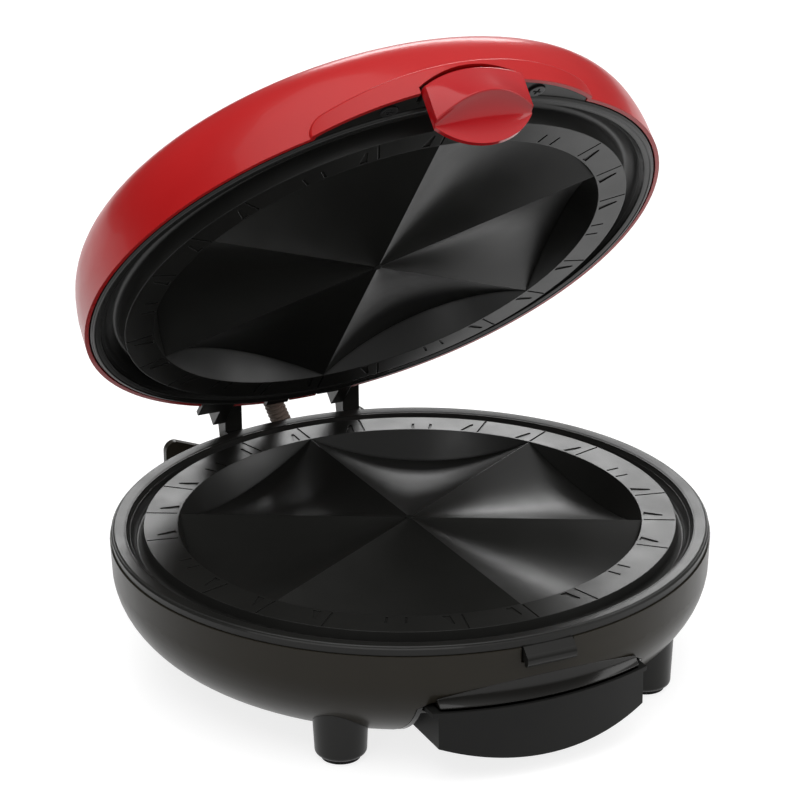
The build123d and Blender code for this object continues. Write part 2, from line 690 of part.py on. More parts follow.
def lid_shell():
    edge = LID_RIM + DOME_EDGE
    skin = dome(0, edge)
    lip = hood(0, edge)
    lip -= Pos(0, 0, edge + 20) * Cylinder(141.5, 60)
    lip = fillet(hood_edges(lip, edge), HOOD_ROUND)
    skin += lip
    room = dome(DOME_WALL, edge - 1) + hood(HOOD_WALL, edge - 1)
    shell = skin - room
    for sign in (-1, 1):
        boss = upright(sign * SCREW_X, SCREW_Y, LID_RIM + 3.6, LID_RIM + 30, 4.2)
        shell += boss & skin
        shell -= upright(sign * SCREW_X, SCREW_Y, LID_RIM, LID_RIM + 13, 1.5)
        shell -= upright(sign * LENS_X, LENS_Y, LID_RIM + 30, LID_RIM + 60, 4.15)
    slot = front_profile(-170, -146.5, latch_slot())
    shell -= slot
    for x0, x1 in lug_places():
        shell -= block(x0 - FIT, x1 + FIT, 120, 150, edge - 2, HINGE_Z + 8.6)
        shell -= block(x0 - LUG_PAD - FIT, x0, 120, 150, edge - 2, LID_RIM + 2.7)
    shell -= block(DRUM_X - 7 - FIT, DRUM_X + 7 + FIT, 120, 150, edge - 2, HINGE_Z + DRUM_R + 0.6)
    return shell


def latch_slot():
    half = LATCH_HALF + 0.9
    centre = LID_RIM - LATCH_AXIS_DROP
    shoulder = centre + sqrt(LATCH_SLOT_R ** 2 - half ** 2)
    outline = Polyline((half, shoulder), (half, LID_RIM - 10), (-half, LID_RIM - 10), (-half, shoulder))
    return outline + ThreePointArc((-half, shoulder), (0, centre + LATCH_SLOT_R), (half, shoulder))


def lug_outline():
    """Side view of a lid lug: square at the rim, rounded over the hinge pin."""
    crown = HINGE_Z + 8.0
    outline = Polyline((132.0, LID_RIM), (LUG_REAR_Y, LID_RIM), (LUG_REAR_Y, HINGE_Z))
    outline += ThreePointArc((LUG_REAR_Y, HINGE_Z), (HINGE_Y + 0.5, crown), (141.0, HINGE_Z + 3.6))
    return outline + Polyline((141.0, HINGE_Z + 3.6), (132.0, LID_RIM + 6.0), (132.0, LID_RIM))


def drum_web_outline():
    reach = HINGE_Y - DRUM_R
    return Polyline((133.0, LID_RIM), (143.4, LID_RIM), (143.4, HINGE_Z - 6.0), (HINGE_Y, HINGE_Z),
                    (reach, HINGE_Z + 2), (133.0, LID_RIM + 6.0), close=True)


def lid_ring():
    ring = onto_lid(frame_ring(LID_RING_R))
    ledge = hood(HOOD_WALL + FIT, LID_RIM + 1.0) & block(-70, 70, -160, -100, LID_RIM, LID_RIM + 3.4)
    ring += ledge - Pos(0, 0, LID_RIM) * Cylinder(139.0, 20)
    ring -= block(-LATCH_HALF - 0.9, LATCH_HALF + 0.9, -170, -144.8, LID_RIM - 5, LID_RIM + 10)
    for sign in (-1, 1):
        ring -= upright(sign * SCREW_X, SCREW_Y, LID_RIM - 1, LID_RIM + 1.8, 4.3)
        ring -= upright(sign * SCREW_X, SCREW_Y, LID_RIM - 1, LID_RIM + 6, 1.7)
        x0, x1 = sorted((sign * 19.4, sign * 22.4))
        ear = block(x0, x1, -150.2, -142.2, LID_RIM + 0.2, LID_RIM + 6.6)
        ring += ear - crossbar(x0 - 1, x1 + 1, PIVOT_Y, PIVOT_Z, LATCH_PIN_R + 0.03)
    for x0, x1 in lug_places():
        lug = side_profile(x0, x1, lug_outline())
        lug -= crossbar(x0 - 1, x1 + 1, HINGE_Y, HINGE_Z, PIN_BORE)
        lug += block(x0 - LUG_PAD, x0, 120, 141, LID_RIM, LID_RIM + 2.4)
        ring += lug - Pos(0, 0, LID_RIM) * Cylinder(138.5, 60)
    drum = crossbar(DRUM_X - 7, DRUM_X + 7, HINGE_Y, HINGE_Z, DRUM_R)
    drum += side_profile(DRUM_X - 6, DRUM_X + 6, drum_web_outline())
    drum -= crossbar(DRUM_X - 9, DRUM_X + 9, HINGE_Y, HINGE_Z, 3.2)
    ring += drum - Pos(0, 0, LID_RIM) * Cylinder(138.5, 60)
    for hole in plate_screw_holes():
        ring -= onto_lid(hole)
    return ring


def ledge_screws():
    screws = []
    for sign in (-1, 1):
        screw = upright(sign * SCREW_X, SCREW_Y, LID_RIM, LID_RIM + 1.8, 3.9)
        screw += upright(sign * SCREW_X, SCREW_Y, LID_RIM + 1.8, LID_RIM + 12.5, 1.45)
        for turn in (20, 110):
            screw -= Pos(sign * SCREW_X, SCREW_Y, LID_RIM + 0.3) * Rot(0, 0, turn) * Box(4.4, 1.0, 0.9)
        screws.append(screw)
    return screws


def lens(side):
    """Indicator lens: a domed button snapped into the lid from inside."""
    z = LID_RIM + DOME_START + DOME_H
    stem = upright(side * LENS_X, LENS_Y, z - 6, z + 2, 4.0)
    stem &= Pos(side * LENS_X, LENS_Y, z - 4.4) * Rot(90, 0, 0) * Sphere(6.3)
    flange = upright(side * LENS_X, LENS_Y, z - 6, z - 4.2, 5.2)
    return stem + flange


def indicator_lamps():
    z = LID_RIM + DOME_START + DOME_H
    return [upright(side * LENS_X, LENS_Y, z - 16, z - 6.4, 2.5) for side in (-1, 1)]


def latch_pin():
    return crossbar(-22.4, 22.4, PIVOT_Y, PIVOT_Z, LATCH_PIN_R)


def latch_spring():
    """Close-wound torsion spring round the latch pin, with two straight legs."""
    wire = 0.45
    turns = 9
    length = turns * 2 * wire
    centres = [-length / 2 + wire * (2 * i + 1) for i in range(turns)]
    coil = crossbar(-length / 2, length / 2, PIVOT_Y, PIVOT_Z, 2.6)
    for x in centres:
        coil += Pos(x, PIVOT_Y, PIVOT_Z) * Rot(0, 90, 0) * Torus(2.6, wire * 0.9)
    coil -= crossbar(-length, length, PIVOT_Y, PIVOT_Z, LATCH_PIN_R + 0.3)
    coil += lengthwise(-length / 2 + wire, PIVOT_Y, PIVOT_Y + 4.5, PIVOT_Z + 2.6, wire)
    return coil


def latch_outline():
    """Front view of the latch: arched top, straight sides and an arched bottom."""
    centre = LID_RIM - LATCH_AXIS_DROP
    half = LATCH_HALF
    shoulder = centre + sqrt(LATCH_TOP_R ** 2 - half ** 2)
    foot_z = LID_RIM + 2.0
    corner = foot_z - sqrt(LATCH_FOOT_R ** 2 - half ** 2)
    outline = ThreePointArc((-half, shoulder), (0, centre + LATCH_TOP_R), (half, shoulder))
    outline += Line((half, shoulder), (half, corner))
    outline += ThreePointArc((half, corner), (0, foot_z - LATCH_FOOT_R), (-half, corner))
    return outline + Line((-half, corner), (-half, shoulder))


def latch_section(z, side_y, middle_y):
    """Level slice of the latch's block: a bowed front, and straight sides and back."""
    half = LATCH_HALF + 1.0
    front = ThreePointArc((-half, side_y), (0, middle_y), (half, side_y))
    rest = Polyline((half, side_y), (half, LATCH_BACK_Y), (-half, LATCH_BACK_Y), (-half, side_y))
    return Pos(0, 0, z) * make_face(front + rest)


def latch_handle():
    """Finger latch. Its face swells from a straight top to a bowed crest, under the crest a scoop
    takes the finger, and a tooth behind it hooks under the base's catch."""
    lean = (CREST_Y + 157.2) / (CREST_DROP + 8.0)
    low_middle = CREST_Y + lean * (22.0 - CREST_DROP)
    body = loft([latch_section(LID_RIM - 22.0 - 8.0, CREST_END_Y + 1.2, low_middle + 8.0 * lean),
                 latch_section(LID_RIM + 9.0, -156.8, -157.1)])
    body &= front_profile(-180, -140, latch_outline())
    top_z = LID_RIM - LATCH_AXIS_DROP
    bevel = Polyline((0, -140), (LATCH_TOP_R - 0.1, -140), (LATCH_TOP_R - 0.1, -154.2),
                     (LATCH_TOP_R - 0.6, -155.8), (LATCH_TOP_R - 1.7, -157.2), (40, -180),
                     (0, -180), close=True)
    face = Plane(origin=(0, 0, top_z), x_dir=(0, 0, 1), z_dir=(-1, 0, 0)) * make_face(bevel)
    body &= revolve(face, Axis((0, 0, top_z), (0, 1, 0)))
    floor = Polyline((0, LID_RIM + 15), (SCOOP_R, LID_RIM + 15), (SCOOP_R, LID_RIM - 9.0))
    floor += ThreePointArc((SCOOP_R, LID_RIM - 9.0), (SCOOP_R - 4.4, LID_RIM - 18.0),
                           (SCOOP_R - 6.2, LID_RIM - 29.0))
    floor += Polyline((SCOOP_R - 6.2, LID_RIM - 29.0), (0, LID_RIM - 29.0), (0, LID_RIM + 15))
    scoop = lengthwise(0, -190, -140, LID_RIM - CREST_DROP - CREST_R, CREST_R)
    body -= scoop - Pos(0, SCOOP_Y + SCOOP_R, 0) * turned(floor)
    for sign in (-1, 1):
        x0, x1 = sorted((sign * 5.6, sign * 17.0))
        body += crossbar(x0, x1, PIVOT_Y, PIVOT_Z, 3.1)
        body += block(x0, x1, -153.0, PIVOT_Y, PIVOT_Z - 2.0, PIVOT_Z + 2.0)
        body -= crossbar(x0 - 1, x1 + 1, PIVOT_Y, PIVOT_Z, LATCH_PIN_R + 0.05)
    tooth = Polyline((-153.0, LID_RIM - 9), (-148.6, LID_RIM - 9), (-148.6, CATCH_UNDER_Z - 0.4),
                     (-145.4, CATCH_UNDER_Z - 0.4), (-145.4, 50.0), (-147.4, 43.2),
                     (-150.8, 43.2), (-153.0, 46.0), (-153.0, LID_RIM - 9))
    return body + side_profile(-8.5, 8.5, tooth)


# ---- write the parts -----------------------------------------------------------------------------
def in_group(shapes):
    return Compound(children=list(shapes))


def base_parts():
    at_rim = Pos(0, 0, RING_TOP)
    parts = {
        "base_shell": base_shell(),
        "base_ring": base_ring(),
        "lower_plate": lower_plate(),
        "lower_heater": at_rim * heater(),
        "lower_reflector": lower_reflector(),
        "lower_plate_screws": in_group(at_rim * s for s in plate_screws()),
        "lower_reflector_screws": in_group(at_rim * s for s in reflector_screws()),
        "thermostat": thermostat(),
        "lower_thermal_fuse": thermal_fuse(0, 30, RING_TOP + HEATER_Z),
        "terminal_block": terminal_block(),
        "drip_spout": drip_spout(),
        "tray_guide": tray_guide(),
        "foot_pads": in_group(foot_pads()),
        "foot_screws": in_group(foot_screws()),
        "rear_stand": rear_stand(),
        "stand_screws": in_group(stand_screws()),
        "cord_gland": cord_gland(),
        "conduit_socket": conduit_socket(),
        "conduit": conduit(),
        "hinge_pin_left": hinge_pin(-1),
        "hinge_pin_right": hinge_pin(1),
    }
    names = ("foot_front_left", "foot_front_right", "foot_rear_left", "foot_rear_right")
    for name, (x, y) in zip(names, foot_places()):
        parts[name] = foot(x, y)
    return parts


def lid_parts():
    return {
        "lid_shell": lid_shell(),
        "lid_ring": lid_ring(),
        "upper_plate": onto_lid(plate(UPPER_BORDER_R, UPPER_RISE, -PLATE_TURN)),
        "upper_heater": onto_lid(heater()),
        "upper_reflector": onto_lid(reflector()),
        "upper_plate_screws": in_group(onto_lid(s) for s in plate_screws()),
        "upper_reflector_screws": in_group(onto_lid(s) for s in reflector_screws()),
        "upper_thermal_fuse": thermal_fuse(0, 30, LID_RIM - HEATER_Z),
        "power_lens": lens(-1),
        "ready_lens": lens(1),
        "indicator_lamps": in_group(indicator_lamps()),
        "ledge_screws": in_group(ledge_screws()),
        "latch_pin": latch_pin(),
        "latch_spring": latch_spring(),
        "latch_handle": latch_handle(),
    }


def main():
    os.makedirs("parts", exist_ok=True)
    parts = base_parts()
    parts["drip_tray"] = drip_tray()
    for name, shape in lid_parts().items():
        parts[name] = swung_up(shape)
    for name, shape in parts.items():
        export_step(Pos(0, -FRAME_Y, 0) * shape, f"parts/{name}.step")


main()
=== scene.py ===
"""Looks of the quesadilla maker, in metres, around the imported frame."""
import json
import math

import bmesh
import bpy
from mathutils import Matrix, Vector


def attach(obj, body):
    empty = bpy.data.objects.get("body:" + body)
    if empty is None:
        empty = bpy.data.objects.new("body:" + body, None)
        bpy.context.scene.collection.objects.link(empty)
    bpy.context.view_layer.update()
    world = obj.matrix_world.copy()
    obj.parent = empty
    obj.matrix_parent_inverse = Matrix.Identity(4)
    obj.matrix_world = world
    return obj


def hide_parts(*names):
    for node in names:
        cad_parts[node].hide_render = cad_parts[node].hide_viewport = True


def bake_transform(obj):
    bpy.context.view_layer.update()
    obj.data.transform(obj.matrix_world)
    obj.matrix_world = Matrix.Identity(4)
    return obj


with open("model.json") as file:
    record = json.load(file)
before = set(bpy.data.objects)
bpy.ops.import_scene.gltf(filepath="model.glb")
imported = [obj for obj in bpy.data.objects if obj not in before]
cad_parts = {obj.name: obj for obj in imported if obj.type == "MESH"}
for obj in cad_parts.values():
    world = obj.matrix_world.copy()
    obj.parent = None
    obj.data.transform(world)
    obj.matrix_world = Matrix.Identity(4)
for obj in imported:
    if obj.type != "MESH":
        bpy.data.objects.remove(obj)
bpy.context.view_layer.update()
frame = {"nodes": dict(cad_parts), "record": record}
nodes = frame["nodes"]
MM = 0.001
AXIS_Y = -0.0155          # the round base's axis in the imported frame


# ---- materials ----------------------------------------------------------------------------------
def new_material(name):
    material = bpy.data.materials.new(name)
    material.use_nodes = True
    tree = material.node_tree
    shader = tree.nodes["Principled BSDF"]
    return material, tree, shader


def texture_place(tree):
    """Object coordinates. They stay with the piece in every pose."""
    return tree.nodes.new("ShaderNodeTexCoord").outputs["Object"]


def noise(tree, place, scale, detail):
    node = tree.nodes.new("ShaderNodeTexNoise")
    node.inputs["Scale"].default_value = scale
    node.inputs["Detail"].default_value = detail
    tree.links.new(place, node.inputs["Vector"])
    return node.outputs["Fac"]


def ramp(tree, value, stops):
    """Colour ramp from (position, colour) stops; a colour may be one grey number."""
    node = tree.nodes.new("ShaderNodeValToRGB")
    elements = node.color_ramp.elements
    while len(elements) < len(stops):
        elements.new(0.5)
    for element, (position, colour) in zip(elements, stops):
        grey = isinstance(colour, (int, float))
        element.position = position
        element.color = (colour, colour, colour, 1) if grey else (*colour, 1)
    tree.links.new(value, node.inputs["Fac"])
    return node.outputs["Color"]


def bump(tree, height, strength, distance, normal=None):
    node = tree.nodes.new("ShaderNodeBump")
    node.inputs["Strength"].default_value = strength
    node.inputs["Distance"].default_value = distance
    tree.links.new(height, node.inputs["Height"])
    if normal is not None:
        tree.links.new(normal, node.inputs["Normal"])
    return node.outputs["Normal"]


def rounded(tree, radius):
    """Edges catch the light as moulded edges do."""
    node = tree.nodes.new("ShaderNodeBevel")
    node.samples = 4
    node.inputs["Radius"].default_value = radius
    return node.outputs["Normal"]


def painted_crevice_shade(tree, value, reach, target):
    """Painted shade: fade the value out in corners narrower than the reach, as if shade fell there,
    and feed it to the target.
    """
    near = tree.nodes.new("ShaderNodeAmbientOcclusion")
    near.samples = 8
    near.inputs["Distance"].default_value = reach
    scale = tree.nodes.new("ShaderNodeMapRange")
    scale.inputs["From Min"].default_value = 0.55
    scale.inputs["From Max"].default_value = 0.95
    scale.inputs["To Min"].default_value = 0.0
    scale.inputs["To Max"].default_value = value
    tree.links.new(near.outputs["AO"], scale.inputs["Value"])
    tree.links.new(scale.outputs["Result"], target)


def surface(name, colour, vary, rough, grain, metallic=0.0, coat=0.0, coat_rough=0.05,
            specular=0.5, edge=0.0004, reach=0.0):
    """Moulded or lacquered finish.

    vary is how far the colour drifts, rough the lowest and highest roughness, and grain the
    texture's scale, bump strength and depth."""
    material, tree, shader = new_material(name)
    place = texture_place(tree)
    cloud = noise(tree, place, 18.0, 4.0)
    dark = tuple(c * (1 - vary) for c in colour)
    light = tuple(min(c * (1 + vary), 1) for c in colour)
    tree.links.new(ramp(tree, cloud, [(0.3, dark), (0.7, light)]), shader.inputs["Base Color"])
    smear = noise(tree, place, 46.0, 5.0)
    tree.links.new(ramp(tree, smear, [(0.3, rough[0]), (0.7, rough[1])]), shader.inputs["Roughness"])
    scale, strength, depth = grain
    fine = noise(tree, place, scale, 3.0)
    tree.links.new(bump(tree, fine, strength, depth, rounded(tree, edge)), shader.inputs["Normal"])
    shader.inputs["Metallic"].default_value = metallic
    shader.inputs["Coat Weight"].default_value = coat
    shader.inputs["Coat Roughness"].default_value = coat_rough
    # Painted shade: with a reach, the reflection is faded out in narrow corners and grooves.
    if reach:
        painted_crevice_shade(tree, specular, reach, shader.inputs["Specular IOR Level"])
    else:
        shader.inputs["Specular IOR Level"].default_value = specular
    return material


RED = surface("red_gloss_plastic", (0.50, 0.010, 0.011), 0.04, (0.28, 0.34), (900, 0.05, 0.0002),
              specular=0.25, coat=0.12, coat_rough=0.06)
RED_LATCH = surface("red_gloss_latch", (0.46, 0.006, 0.010), 0.04, (0.16, 0.22),
                    (900, 0.04, 0.0001), specular=0.22, coat=0.35, coat_rough=0.04, edge=0.0002)
BROWN = surface("brown_grey_lacquer", (0.023, 0.020, 0.0145), 0.06, (0.30, 0.36),
                (1600, 0.06, 0.0001), specular=0.12, coat=0.08, coat_rough=0.04)
BLACK = surface("black_satin_plastic", (0.010, 0.0098, 0.0088), 0.1, (0.34, 0.42),
                (1400, 0.1, 0.0001), specular=0.14, coat=0.2, coat_rough=0.05)
# The nonstick coating's reflection carries painted shade in its grooves and corners.
NONSTICK = surface("nonstick_coating", (0.013, 0.013, 0.012), 0.12, (0.30, 0.38),
                   (2600, 0.25, 0.0001), specular=0.36, reach=0.0018)
GLOSS_BLACK = surface("black_gloss_plastic", (0.007, 0.0065, 0.0055), 0.1, (0.12, 0.18),
                      (700, 0.04, 0.0001), specular=0.3)
CHARCOAL = surface("charcoal_plastic", (0.010, 0.010, 0.0095), 0.1, (0.42, 0.5),
                   (1800, 0.2, 0.0001), specular=0.15)
RUBBER = surface("black_rubber", (0.008, 0.008, 0.0075), 0.15, (0.6, 0.75), (1500, 0.3, 0.0001),
                 specular=0.2)
CONDUIT = surface("conduit_rubber", (0.20, 0.155, 0.125), 0.15, (0.4, 0.55), (1200, 0.2, 0.0001),
                  specular=0.3)
STEEL = surface("zinc_plated_steel", (0.52, 0.52, 0.53), 0.08, (0.28, 0.4), (2200, 0.15, 0.00005),
                metallic=1.0)
BLACK_STEEL = surface("blacked_steel", (0.010, 0.010, 0.010), 0.08, (0.3, 0.4),
                      (2200, 0.15, 0.00005), specular=0.4)
SHEATH = surface("heater_sheath", (0.10, 0.09, 0.08), 0.2, (0.4, 0.55), (1500, 0.2, 0.0001),
                 metallic=0.8)
PAN = surface("pressed_aluminium", (0.6, 0.6, 0.61), 0.06, (0.35, 0.45), (1500, 0.1, 0.00005),
              metallic=1.0)
CERAMIC = surface("ceramic_moulding", (0.7, 0.68, 0.62), 0.05, (0.5, 0.6), (900, 0.1, 0.0001))
LENS_RED = surface("red_lens", (0.45, 0.02, 0.015), 0.05, (0.06, 0.1), (500, 0.02, 0.0001), coat=1)
LENS_GREEN = surface("green_lens", (0.03, 0.28, 0.06), 0.05, (0.06, 0.1), (500, 0.02, 0.0001),
                     coat=1)

FINISHES = {
    "brown_shell": BROWN, "black_ring": BLACK, "nonstick": NONSTICK, "steel": STEEL,
    "pressed_aluminium": PAN, "heater_sheath": SHEATH, "insulator": CERAMIC,
    "black_plastic": BLACK, "gloss_liner": GLOSS_BLACK, "rubber_pad": RUBBER,
    "tray_plastic": CHARCOAL, "conduit_rubber": CONDUIT, "red_gloss": RED,
    "red_lens": LENS_RED, "green_lens": LENS_GREEN,
}

for row in frame["record"]["subparts"]:
    mesh = nodes[row["node"]].data
    mesh.materials.clear()
    blacked = row["node"] == "ledge_screws"
    mesh.materials.append(BLACK_STEEL if blacked else FINISHES[row["material_slot"]])


# ---- shapes -------------------------------------------------------------------------------------
HINGE = Vector((0, 0.133, 0.0875))
OPEN = math.radians(47.24)
RING_TOP = 0.0658         # plane of the base's ring
RIM = 0.0708              # plane of the lid's ring, with the lid shut
SWING = (Matrix.Translation(HINGE) @ Matrix.Rotation(-OPEN, 4, "X")
         @ Matrix.Translation(-HINGE))


def add_piece(name, points, faces, material, body, lid=False):
    """Mesh piece from points in metres. Lid pieces are given shut, and swung up here."""
    mesh = bpy.data.meshes.new(name)
    mesh.from_pydata(points, [], faces)
    if lid:
        mesh.transform(SWING)
    mesh.materials.append(material)
    mesh.validate()
    work = bmesh.new()
    work.from_mesh(mesh)
    bmesh.ops.recalc_face_normals(work, faces=work.faces)
    work.to_mesh(mesh)
    work.free()
    piece = bpy.data.objects.new(name, mesh)
    bpy.context.scene.collection.objects.link(piece)
    mesh.shade_smooth()
    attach(piece, body)
    return piece


def soften(piece, width, segments=3, angle=40):
    """Round the piece's edges."""
    bevel = piece.modifiers.new("edges", "BEVEL")
    bevel.width = width
    bevel.segments = segments
    bevel.limit_method = "ANGLE"
    bevel.angle_limit = math.radians(angle)
    bevel.harden_normals = True


def smooth_line(corners, steps=6):
    """Catmull-Rom line through the corners."""
    line = []
    padded = [corners[0]] + list(corners) + [corners[-1]]
    for a, b, c, d in zip(padded, padded[1:], padded[2:], padded[3:]):
        for i in range(steps):
            t = i / steps
            line.append(tuple(
                0.5 * (2 * q + (r - p) * t + (2 * p - 5 * q + 4 * r - s) * t ** 2
                       + (3 * q - p - 3 * r + s) * t ** 3)
                for p, q, r, s in zip(a, b, c, d)))
    return line + [corners[-1]]


def ring_piece(name, profile, plane, flip, material, body, steps=288):
    """Closed ring turned about the round body's axis. profile gives radius and height in mm."""
    points, faces = [], []
    count = len(profile)
    for i in range(steps):
        angle = 2 * math.pi * i / steps
        for radius, height in profile:
            points.append((radius * MM * math.cos(angle), AXIS_Y + radius * MM * math.sin(angle),
                           plane + flip * height * MM))
    for i in range(steps):
        for j in range(count):
            a, b = i * count, (i + 1) % steps * count
            k = (j + 1) % count
            faces.append((a + j, a + k, b + k, b + j))
    return add_piece(name, points, faces, material, body, lid=flip < 0)


def gutter(name, border_r, bead_r, bead, plane, flip, body):
    """Smooth trough between the plate's border and the ring, with the ring's rounded bead."""
    top = smooth_line([
        (border_r + 0.15, -2.6), (border_r + 1.2, -5.3), (border_r + 3.2, -6.3), (131.6, -4.7),
        (133.2, -2.7), (134.6, -1.3), (136.2, -0.2 + bead * 0.3), (138.6, bead * 0.65),
        (bead_r - 1.6, bead * 0.95), (bead_r - 0.9, bead), (bead_r - 0.3, bead * 0.6),
        (bead_r, -0.3)])
    under = [(bead_r - 0.6, -0.6), (136.0, -0.9), (134.8, -2.4), (131.0, -9.0),
             (border_r + 0.6, -9.0)]
    ring_piece(name, top + under, plane, flip, NONSTICK, body)


gutter("lower_gutter", 127.4, 142.3, 0.75, RING_TOP, 1, "base")
gutter("upper_gutter", 125.2, 140.0, 0.5, RIM, -1, "lid")


def bezier(a, b, c, t):
    return tuple((1 - t) ** 2 * p + 2 * t * (1 - t) * q + t * t * r for p, q, r in zip(a, b, c))


LATCH_HALF = 23.4         # mm, all from the rim's plane with the lid shut
LATCH_TOP_R, LATCH_TOP_Z = 48.3, -40.0
LATCH_FOOT_R, LATCH_FOOT_Z = 30.0, 2.0
CREST = (-166.9, -10.4)   # y and z at the middle
CREST_ENDS = (11.4, -4.8)  # how far they move by the sides


def latch_column(x):
    """The latch's front from top to bottom at one place across, as (y, z) in mm, z from the rim."""
    top = sqrt_arc(LATCH_TOP_R, x) + LATCH_TOP_Z
    foot = LATCH_FOOT_Z - sqrt_arc(LATCH_FOOT_R, x)
    share = (x / LATCH_HALF) ** 2
    crest = tuple(c + e * share for c, e in zip(CREST, CREST_ENDS))
    heel = (-151.8, foot)
    front = (-157.1 + 0.3 * share, top - 1.9)
    line = [(-150.6, top), (-153.6, top)]
    line += [bezier((-154.0, top), (-156.6, top - 0.2), front, t / 4) for t in range(1, 5)]
    height = crest[1] - foot
    turn = min(0.9, 0.25 * height)
    run = math.hypot(front[0] - crest[0], front[1] - crest[1])
    above = tuple(c + (f - c) * turn / run for c, f in zip(crest, front))
    for t in (0.25, 0.5, 0.75):
        line.append(tuple(f + (a - f) * t for f, a in zip(front, above)))
    bend = (-151.2, crest[1] - 0.2 * height)
    below = bezier(crest, bend, heel, 0.05)
    line += [bezier(above, crest, below, t / 6) for t in range(7)]
    line += [bezier(crest, bend, heel, 0.05 + 0.95 * t / 16) for t in range(1, 17)]
    return line + [(-149.6, foot)]


def sqrt_arc(radius, x):
    """Height of a circle over its middle at x."""
    return math.sqrt(radius ** 2 - x ** 2)


def latch():
    """Finger latch: face, crest and scoop from columns, closed by a back. It has no hook."""
    across = [LATCH_HALF * math.sin(math.pi / 2 * i / 24) for i in range(-24, 25)]
    columns = [latch_column(x) for x in across]
    count = len(columns[0])
    points = [(x * MM, AXIS_Y + y * MM, RIM + z * MM)
              for x, column in zip(across, columns) for y, z in column]
    faces = []
    for i in range(len(across) - 1):
        a, b = i * count, (i + 1) * count
        faces += [(a + j, b + j, b + j + 1, a + j + 1) for j in range(count - 1)]
        faces.append((a, a + count - 1, b + count - 1, b))
    last = (len(across) - 1) * count
    faces.append(tuple(range(count)))
    faces.append(tuple(range(last, last + count)))
    grip = add_piece("latch_grip", points, faces, RED_LATCH, "latch", lid=True)
    soften(grip, 0.0007)
    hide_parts("latch_handle")


latch()


def mouth_brow():
    """Glossy brow over the drip tray, swelling from the bowl to just above the tray's edge."""
    arch_r, crown, low = 196.6, 47.4, 36.8          # the arch, and the brow's lower edge
    bowl_r, brow_r, back_r = 143.15, 145.9, 141.3   # radii at its top, its edge and its back
    count = 10
    points, faces = [], []
    stations = [50.0 * i / 30 for i in range(-30, 31)]
    for x in stations:
        top = crown - arch_r + sqrt_arc(arch_r, x)
        roll = [bezier((bowl_r, top), (bowl_r + 0.5, top - 0.6 * (top - low)), (brow_r, low + 0.8),
                       t / count) for t in range(count + 1)]
        section = roll + [(brow_r - 0.3, low), (back_r, low + 0.2), (back_r, top - 0.6)]
        points += [(x * MM, AXIS_Y - sqrt_arc(r, x) * MM, z * MM) for r, z in section]
    size = count + 4
    for i in range(len(stations) - 1):
        for j in range(size):
            k = (j + 1) % size
            faces.append((i * size + j, (i + 1) * size + j, (i + 1) * size + k, i * size + k))
    faces.append(tuple(range(size)))
    faces.append(tuple(range((len(stations) - 1) * size, len(stations) * size)))
    brow = add_piece("mouth_brow", points, faces, GLOSS_BLACK, "base")
    soften(brow, 0.0003, 2)


mouth_brow()


def conduit():
    """Ribbed rubber tube from the base's socket up to the lid's drum."""
    foot, mid = Vector((1.5, 150.2, 53.0)), Vector((-3.8, 149.6, 64.3))
    top = Vector((-12.5, 149.4, 87.5))
    top = mid + (top - mid) * (1 - 7.2 / (top - mid).length)
    middle_line = smooth_line([tuple(foot - (mid - foot) * 0.25), tuple(foot), tuple(mid),
                               tuple(mid + (top - mid) * 0.5), tuple(top)], steps=24)
    route = [Vector(p) for p in middle_line]
    points, faces, travelled, around = [], [], 0.0, 32
    for i, centre in enumerate(route):
        if i:
            travelled += (centre - route[i - 1]).length
        ahead = route[min(i + 1, len(route) - 1)] - route[max(i - 1, 0)]
        side = ahead.cross(Vector((0, 1, 0))).normalized()
        out = side.cross(ahead).normalized()
        wave = 0.5 + 0.5 * math.cos(2 * math.pi * travelled / 2.4)
        radius = 4.4 + 0.9 * wave ** 0.7
        for k in range(around):
            turn = 2 * math.pi * k / around
            spot = centre + (side * math.cos(turn) + out * math.sin(turn)) * radius
            points.append((spot.x * MM, AXIS_Y + spot.y * MM, spot.z * MM))
    for i in range(len(route) - 1):
        for k in range(around):
            m = (k + 1) % around
            a, b = i * around, (i + 1) * around
            faces.append((a + k, a + m, b + m, b + k))
    faces.append(tuple(range(around)))
    faces.append(tuple(range((len(route) - 1) * around, len(route) * around)))
    mesh = bpy.data.meshes.new("conduit_sleeve")
    mesh.from_pydata(points, [], faces)
    work = bmesh.new()
    work.from_mesh(mesh)
    bmesh.ops.recalc_face_normals(work, faces=work.faces)
    work.to_mesh(mesh)
    work.free()
    mesh.shade_smooth()
    mesh.materials.append(CONDUIT)
    sleeve = bpy.data.objects.new("conduit_sleeve", mesh)
    bpy.context.scene.collection.objects.link(sleeve)
    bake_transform(sleeve)
    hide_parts("conduit")


conduit()

# ---- camera -------------------------------------------------------------------------------------
AZIMUTH = math.radians(-24.9114)
ELEVATION = math.radians(21.5883)
ROLL = math.radians(-0.5897)
DISTANCE = 1.5538
ASIDE = -0.0053
RAISED = 0.11776
LENS = 143.4

back = Vector((math.sin(AZIMUTH) * math.cos(ELEVATION), -math.cos(AZIMUTH) * math.cos(ELEVATION),
               math.sin(ELEVATION)))
level = (-back).cross(Vector((0, 0, 1))).normalized()
upward = level.cross(-back)
right = level * math.cos(ROLL) + upward * math.sin(ROLL)
top = upward * math.cos(ROLL) - level * math.sin(ROLL)
camera_data = bpy.data.cameras.new("camera")
camera_data.sensor_width = 36
camera_data.lens = LENS
camera_data.clip_start = 0.05
camera_data.clip_end = 50
camera = bpy.data.objects.new("camera", camera_data)
bpy.context.scene.collection.objects.link(camera)
turn = Matrix((right, top, back)).transposed().to_4x4()
place = Vector((0, AXIS_Y, 0)) + back * DISTANCE + right * ASIDE + top * RAISED
camera.matrix_world = Matrix.Translation(place) @ turn
bpy.context.scene.camera = camera


